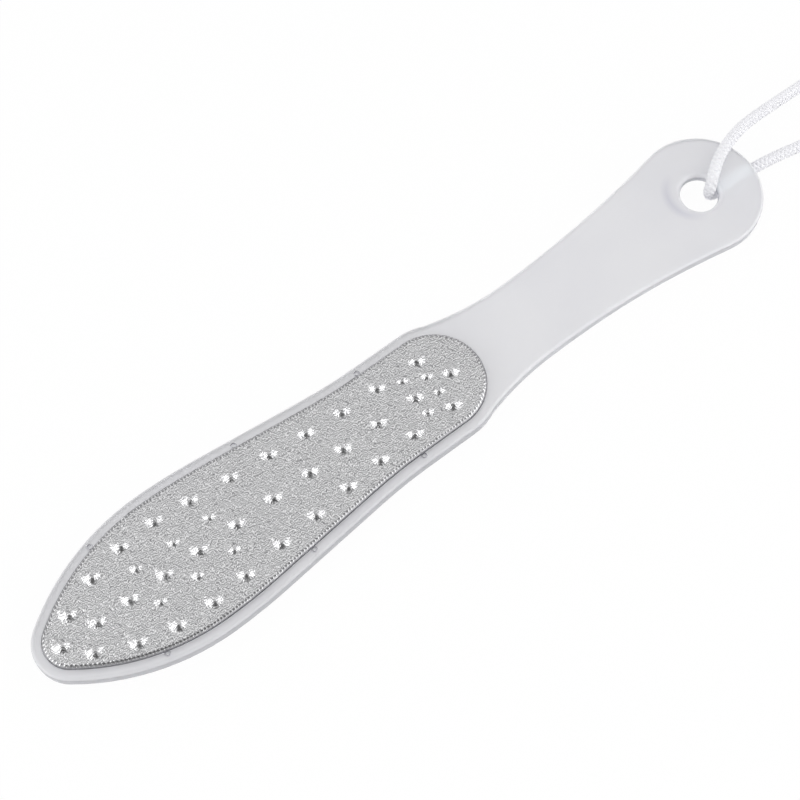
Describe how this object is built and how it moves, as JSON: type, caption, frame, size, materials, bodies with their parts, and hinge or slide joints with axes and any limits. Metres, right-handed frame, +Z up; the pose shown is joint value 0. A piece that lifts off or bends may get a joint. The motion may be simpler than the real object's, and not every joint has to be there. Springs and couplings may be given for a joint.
{
  "type": "foot file",
  "caption": "Two-sided foot file: frosted paddle and handle in one moulding, a domed coarse steel plate in front, a fine one behind and a braided hanging loop.",
  "frame": {"origin": "on the table under the middle of the file's length, at the outer face of the fine plate it lies on", "axes": "+X along the file from the toe to the handle's end, +Z up through the coarse plate"},
  "size_m": [0.3528, 0.0486, 0.0121],
  "materials": {
    "frosted_plastic": "frosted translucent",
    "coarse_steel": "etched coarse",
    "fine_steel": "etched fine",
    "adhesive_film": "matte",
    "white_braid": "braided"
  },
  "bodies": {
    "file": {"frosted_body": "frosted_plastic", "coarse_plate": "coarse_steel", "coarse_plate_film": "adhesive_film", "fine_plate": "fine_steel", "fine_plate_film": "adhesive_film"},
    "hanging_loop": {"hang_cord": "white_braid", "cord_knot": "white_braid"}
  },
  "joints": [
    {"name": "loop_swing", "type": "hinge", "parent": "file", "child": "hanging_loop", "pos_m": [0.1105, 0, 0.00605], "axis": [0, 0, 1], "range_deg": [-90, 90]}
  ]
}
